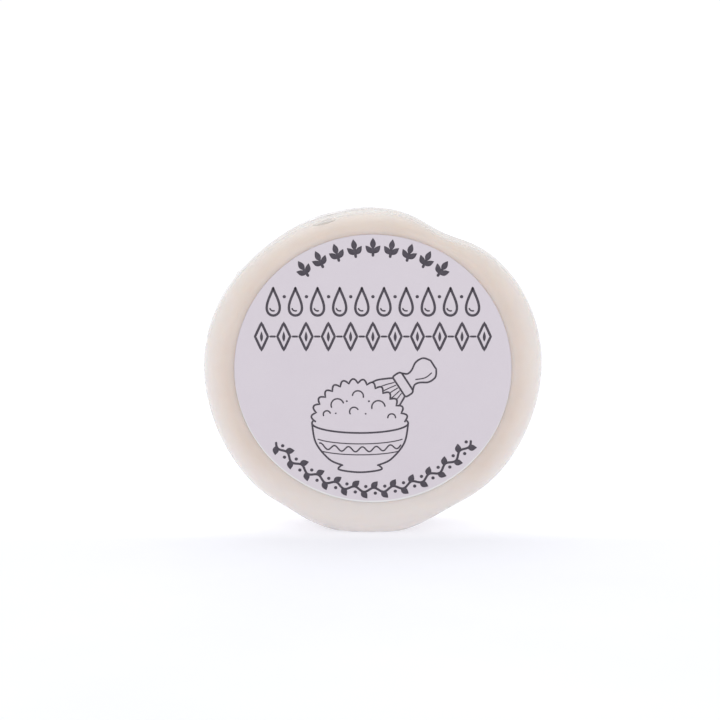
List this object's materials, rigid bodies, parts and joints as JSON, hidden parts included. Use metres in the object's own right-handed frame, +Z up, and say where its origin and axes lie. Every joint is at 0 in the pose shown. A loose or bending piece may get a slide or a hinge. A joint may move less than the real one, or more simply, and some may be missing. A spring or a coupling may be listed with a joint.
{
  "type": "shaving soap puck",
  "caption": "Round puck of ivory shaving soap in clear shrink film, with a nearly round paper label on each face, standing on a small flat on its rim.",
  "frame": {"origin": "under the middle of the puck, on the surface that it stands on", "axes": "+Z up as the puck stands on its rim, front label facing -Y, +X to the right as seen from the front"},
  "size_m": [0.0624, 0.021, 0.0591],
  "materials": {
    "soap": "satin, slightly translucent ivory",
    "clear_film": "clear glossy shrink film",
    "label_paper": "matte coated paper, pale lilac grey"
  },
  "bodies": {
    "root": {"soap_cake": "soap", "shrink_film": "clear_film", "front_label": "label_paper", "back_label": "label_paper"}
  },
  "joints": []
}
